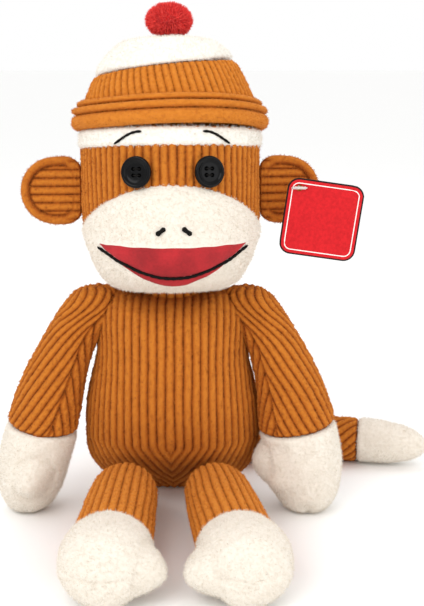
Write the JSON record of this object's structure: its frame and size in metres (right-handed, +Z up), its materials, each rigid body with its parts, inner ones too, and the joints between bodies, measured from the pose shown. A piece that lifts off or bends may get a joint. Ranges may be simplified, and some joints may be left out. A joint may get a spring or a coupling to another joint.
{
  "type": "stuffed monkey",
  "caption": "Sitting stuffed monkey with ribbed knit body, plush muzzle, paws and feet, button eyes, rolled-brim hat with pompom, tail and swing tag.",
  "frame": {"origin": "on the flat underside of the seat, a little behind the middle of the chest, on the surface the toy sits on", "axes": "+Z up; -Y is the front, where the face looks; +X is the monkey's own left"},
  "size_m": [0.2467, 0.2224, 0.2721],
  "materials": {
    "rust_knit": "matte",
    "cream_plush": "matte",
    "red_felt": "matte",
    "red_yarn": "matte",
    "black_thread": "matte",
    "black_button": "gloss",
    "polyester_fill": "matte",
    "red_card": "satin",
    "nylon_fastener": "satin"
  },
  "bodies": {
    "torso": {"torso_front": "rust_knit", "torso_back": "rust_knit", "torso_stuffing": "polyester_fill"},
    "neck": {"neck_ring": "rust_knit"},
    "head": {"head_back": "rust_knit", "head_face_band": "rust_knit", "head_forehead": "cream_plush", "muzzle": "cream_plush", "head_stuffing": "polyester_fill", "mouth": "red_felt", "smile_thread": "black_thread", "nostril_left": "black_thread", "nostril_right": "black_thread", "brow_left": "black_thread", "brow_right": "black_thread", "eye_button_left": "black_button", "eye_button_right": "black_button", "eye_thread_left": "black_thread", "eye_thread_right": "black_thread", "hat_crown": "cream_plush", "hat_band": "rust_knit", "hat_brim": "rust_knit", "hat_stuffing": "polyester_fill", "pompom_tie": "red_yarn"},
    "pompom": {"pompom": "red_yarn"},
    "ear_left": {"ear_left_front": "rust_knit", "ear_left_back": "rust_knit", "tag_fastener": "nylon_fastener"},
    "ear_right": {"ear_right_front": "rust_knit", "ear_right_back": "rust_knit"},
    "tag": {"tag_card": "red_card"},
    "tail": {"tail_cover": "rust_knit", "tail_tip": "cream_plush", "tail_stuffing": "polyester_fill"},
    "arm_left": {"arm_left_outer": "rust_knit", "arm_left_inner": "rust_knit", "paw_left_back": "cream_plush", "paw_left_palm": "cream_plush", "arm_left_stuffing": "polyester_fill"},
    "leg_left": {"leg_left_cover": "rust_knit", "foot_left_upper": "cream_plush", "foot_left_sole": "cream_plush", "leg_left_stuffing": "polyester_fill"},
    "arm_right": {"arm_right_outer": "rust_knit", "arm_right_inner": "rust_knit", "paw_right_back": "cream_plush", "paw_right_palm": "cream_plush", "arm_right_stuffing": "polyester_fill"},
    "leg_right": {"leg_right_cover": "rust_knit", "foot_right_upper": "cream_plush", "foot_right_sole": "cream_plush", "leg_right_stuffing": "polyester_fill"}
  },
  "joints": [
    {"name": "neck_turn", "type": "hinge", "parent": "torso", "child": "neck", "pos_m": [0, -0.021, 0.1214], "axis": [0, 0, 1], "range_deg": [-30, 30], "stiffness_Nm_per_rad": 0.4},
    {"name": "neck_nod", "type": "hinge", "parent": "neck", "child": "head", "pos_m": [0, -0.021, 0.1216], "axis": [1, 0, 0], "range_deg": [-12, 12], "stiffness_Nm_per_rad": 0.8},
    {"name": "pompom_sway", "type": "hinge", "parent": "head", "child": "pompom", "pos_m": [-0.00061, -0.01679, 0.25527], "axis": [0.9982, 0.0593, 0], "range_deg": [-10, 10], "stiffness_Nm_per_rad": 0.02},
    {"name": "ear_left_fold", "type": "hinge", "parent": "head", "child": "ear_left", "pos_m": [0.05412, -0.02734, 0.17596], "axis": [-0.0072, 0.1217, 0.9925], "range_deg": [-30, 40], "stiffness_Nm_per_rad": 0.05},
    {"name": "ear_right_fold", "type": "hinge", "parent": "head", "child": "ear_right", "pos_m": [-0.05369, -0.03374, 0.17596], "axis": [0.0072, -0.1217, -0.9925], "range_deg": [-40, 40], "stiffness_Nm_per_rad": 0.05},
    {"name": "shoulder_left", "type": "hinge", "parent": "torso", "child": "arm_left", "pos_m": [0.044, -0.029, 0.112], "axis": [-0.9996, -0.03, 0], "range_deg": [-10, 90], "stiffness_Nm_per_rad": 0.1},
    {"name": "shoulder_right", "type": "hinge", "parent": "torso", "child": "arm_right", "pos_m": [-0.044, -0.029, 0.112], "axis": [-0.9996, 0.03, 0], "range_deg": [-40, 90], "stiffness_Nm_per_rad": 0.1},
    {"name": "hip_left", "type": "hinge", "parent": "torso", "child": "leg_left", "pos_m": [0.024, -0.062, 0.02], "axis": [-0.9877, -0.1564, 0], "range_deg": [-70, 50], "stiffness_Nm_per_rad": 0.2},
    {"name": "hip_right", "type": "hinge", "parent": "torso", "child": "leg_right", "pos_m": [-0.024, -0.062, 0.02], "axis": [-0.9994, 0.0349, 0], "range_deg": [-70, 50], "stiffness_Nm_per_rad": 0.2},
    {"name": "tail_swing", "type": "hinge", "parent": "torso", "child": "tail", "pos_m": [0, 0.024, 0.0134], "axis": [0, 0, 1], "range_deg": [0, 75], "stiffness_Nm_per_rad": 0.08},
    {"name": "tag_swing", "type": "hinge", "parent": "ear_left", "child": "tag", "pos_m": [0.0672, -0.044, 0.1787], "axis": [0, -1, 0], "range_deg": [0, 60]}
  ]
}
